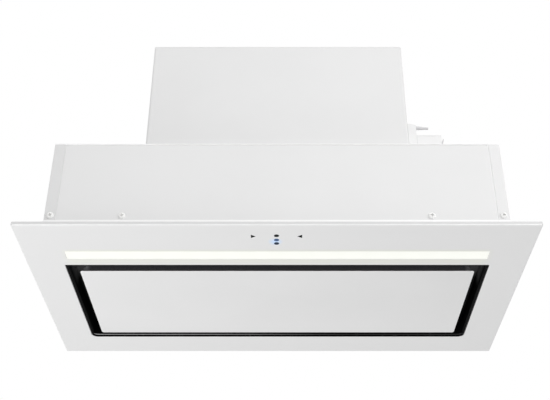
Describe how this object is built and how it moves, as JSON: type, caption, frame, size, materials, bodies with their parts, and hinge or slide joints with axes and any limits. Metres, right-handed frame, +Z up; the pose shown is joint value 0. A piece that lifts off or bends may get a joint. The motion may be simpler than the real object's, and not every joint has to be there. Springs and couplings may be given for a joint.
{
  "type": "built-in range hood",
  "caption": "Built-in cooker hood with a white glass underside, edge suction round a drop-down cover, a light strip and a top duct outlet.",
  "frame": {"origin": "centre of the glass plate's underside", "axes": "+X to the right seen from the front, +Y towards the back, +Z up to the duct outlet"},
  "size_m": [0.598, 0.342, 0.3557],
  "materials": {
    "white_glass": "glossy, painted white behind",
    "opal": "satin opal",
    "black_plastic": "fine grain",
    "black_gloss": "glossy",
    "white_panel": "glossy white",
    "white_sheet": "satin powder coat",
    "zinc": "zinc plated",
    "aluminium": "brushed",
    "magnet": "nickel plated",
    "board": "solder mask",
    "emitter": "lit phosphor",
    "white_plastic": "moulded",
    "grey_plastic": "moulded",
    "dark_plastic": "moulded",
    "blower_grey": "moulded",
    "motor_can": "satin",
    "steel": "ground",
    "rubber": "matt",
    "brass": "plain"
  },
  "bodies": {
    "root": {"glass_panel": "white_glass", "light_lens": "opal", "light_channel": "aluminium", "light_board": "board", "light_emitters": "emitter", "touch_board": "board", "touch_springs": "steel", "touch_cover": "dark_plastic", "suction_frame": "black_plastic", "hinge_brackets": "zinc", "hinge_pins": "steel", "catch_magnets": "magnet", "magnet_holders": "dark_plastic", "filter_frame": "aluminium", "filter_mesh": "aluminium", "latch_housing": "dark_plastic", "base_frame": "white_sheet", "body_front": "white_sheet", "body_back": "white_sheet", "body_side_left": "white_sheet", "body_side_right": "white_sheet", "body_deck": "white_sheet", "housing_shell": "white_sheet", "housing_back": "white_sheet", "housing_top": "white_sheet", "scroll_left": "blower_grey", "scroll_right": "blower_grey", "motor": "motor_can", "motor_arms": "zinc", "motor_bushes": "rubber", "outlet_spigot": "dark_plastic", "flap_spindle": "steel", "entry_cowl": "white_plastic", "cable_nozzle": "grey_plastic", "connection_box": "white_plastic", "connection_lid": "white_plastic", "terminal_block": "white_plastic", "cable_clip": "grey_plastic", "control_box": "dark_plastic", "control_lid": "dark_plastic", "control_board": "board", "board_components": "dark_plastic", "light_driver": "white_plastic", "capacitor": "white_plastic", "capacitor_strap": "zinc", "body_screws": "steel", "sheet_screws": "zinc", "arm_screws": "zinc"},
    "cover": {"cover_panel": "white_panel", "panel_backing": "black_gloss", "hinge_arms": "zinc", "strike_plates": "zinc"},
    "latch": {"filter_latch": "grey_plastic"},
    "rotor": {"impeller": "dark_plastic", "impeller_hub": "brass", "motor_shaft": "steel"},
    "front_flap": {"flap_front": "grey_plastic"},
    "rear_flap": {"flap_rear": "grey_plastic"}
  },
  "joints": [
    {"name": "cover_hinge", "type": "hinge", "parent": "root", "child": "cover", "pos_m": [0, 0.102, 0.015], "axis": [1, 0, 0], "range_deg": [0, 90]},
    {"name": "latch_slide", "type": "slide", "parent": "root", "child": "latch", "axis": [0, 1, 0], "range_m": [0, 0.005], "stiffness_N_per_m": 300, "springref_m": -0.003},
    {"name": "impeller_spin", "type": "hinge", "parent": "root", "child": "rotor", "pos_m": [0, -0.02242, 0.22114], "axis": [1, 0, 0], "continuous": true},
    {"name": "front_flap_hinge", "type": "hinge", "parent": "root", "child": "front_flap", "pos_m": [0, 0.03967, 0.3297], "axis": [-1, 0, 0], "range_deg": [0, 80]},
    {"name": "rear_flap_hinge", "type": "hinge", "parent": "root", "child": "rear_flap", "pos_m": [0, 0.03967, 0.3297], "axis": [1, 0, 0], "range_deg": [0, 80]}
  ]
}
